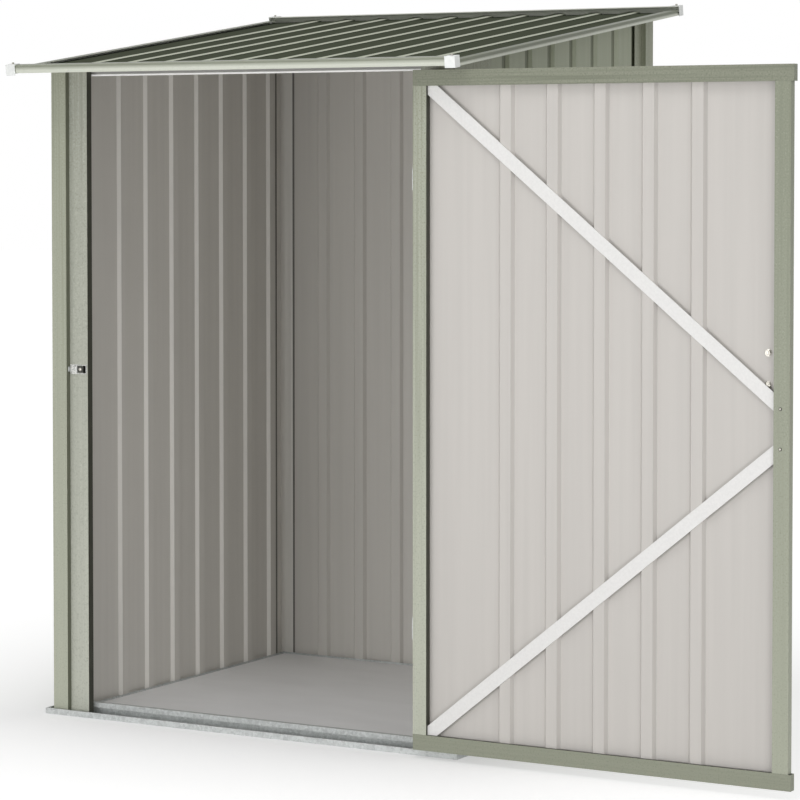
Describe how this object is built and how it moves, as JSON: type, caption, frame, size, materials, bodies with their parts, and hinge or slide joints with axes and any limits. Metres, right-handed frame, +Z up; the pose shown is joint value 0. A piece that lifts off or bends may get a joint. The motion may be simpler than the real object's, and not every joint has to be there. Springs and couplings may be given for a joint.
{
  "type": "metal storage shed",
  "caption": "Lean-to garden shed of ribbed sheet steel with a sloping roof, a zinc sill and a hinged, braced door that swings wide open.",
  "frame": {"origin": "middle of the shed's plan, on the ground, on the underside of the floor sheet", "axes": "+X to the right along the front, +Y from the front to the back, +Z up"},
  "size_m": [2.0795, 1.2517, 1.8076],
  "materials": {
    "green_paint": "satin sage green paint with a fine grain",
    "roof_paint": "dark green satin paint",
    "trim_paint": "pale green satin paint",
    "wall_paint": "sage green outside, pale grey primer inside",
    "door_paint": "pale grey primer inside",
    "white_paint": "white satin paint",
    "cap_plastic": "moulded white plastic",
    "zinc": "galvanised",
    "nickel": "nickel plated",
    "floor_paint": "smooth grey paint"
  },
  "bodies": {
    "shed": {"front_sill": "zinc", "back_base_rail": "zinc", "left_base_rail": "zinc", "right_base_rail": "zinc", "floor_sheet": "floor_paint", "front_left_post": "green_paint", "front_right_post": "green_paint", "back_left_post": "green_paint", "back_right_post": "green_paint", "left_jamb": "green_paint", "right_jamb": "green_paint", "front_top_rail": "white_paint", "back_top_rail": "zinc", "left_top_rail": "zinc", "right_top_rail": "zinc", "left_wall": "wall_paint", "right_wall": "wall_paint", "back_wall": "wall_paint", "roof_sheet": "roof_paint", "front_eave_trim": "trim_paint", "back_eave_trim": "trim_paint", "left_gable_trim": "trim_paint", "right_gable_trim": "trim_paint", "front_left_cap": "cap_plastic", "front_right_cap": "cap_plastic", "back_left_cap": "cap_plastic", "back_right_cap": "cap_plastic", "upper_frame_leaf": "zinc", "lower_frame_leaf": "zinc", "latch_plate": "nickel"},
    "door": {"door_sheet": "door_paint", "door_top_bar": "green_paint", "door_bottom_bar": "green_paint", "door_hinge_stile": "green_paint", "door_free_stile": "green_paint", "door_upper_brace": "white_paint", "door_lower_brace": "white_paint", "door_handle": "nickel", "upper_door_leaf": "zinc", "lower_door_leaf": "zinc"}
  },
  "joints": [
    {"name": "door_hinge", "type": "hinge", "parent": "shed", "child": "door", "pos_m": [0.483, -0.552, 0.8], "axis": [0, 0, -1], "range_deg": [0, 180]}
  ]
}
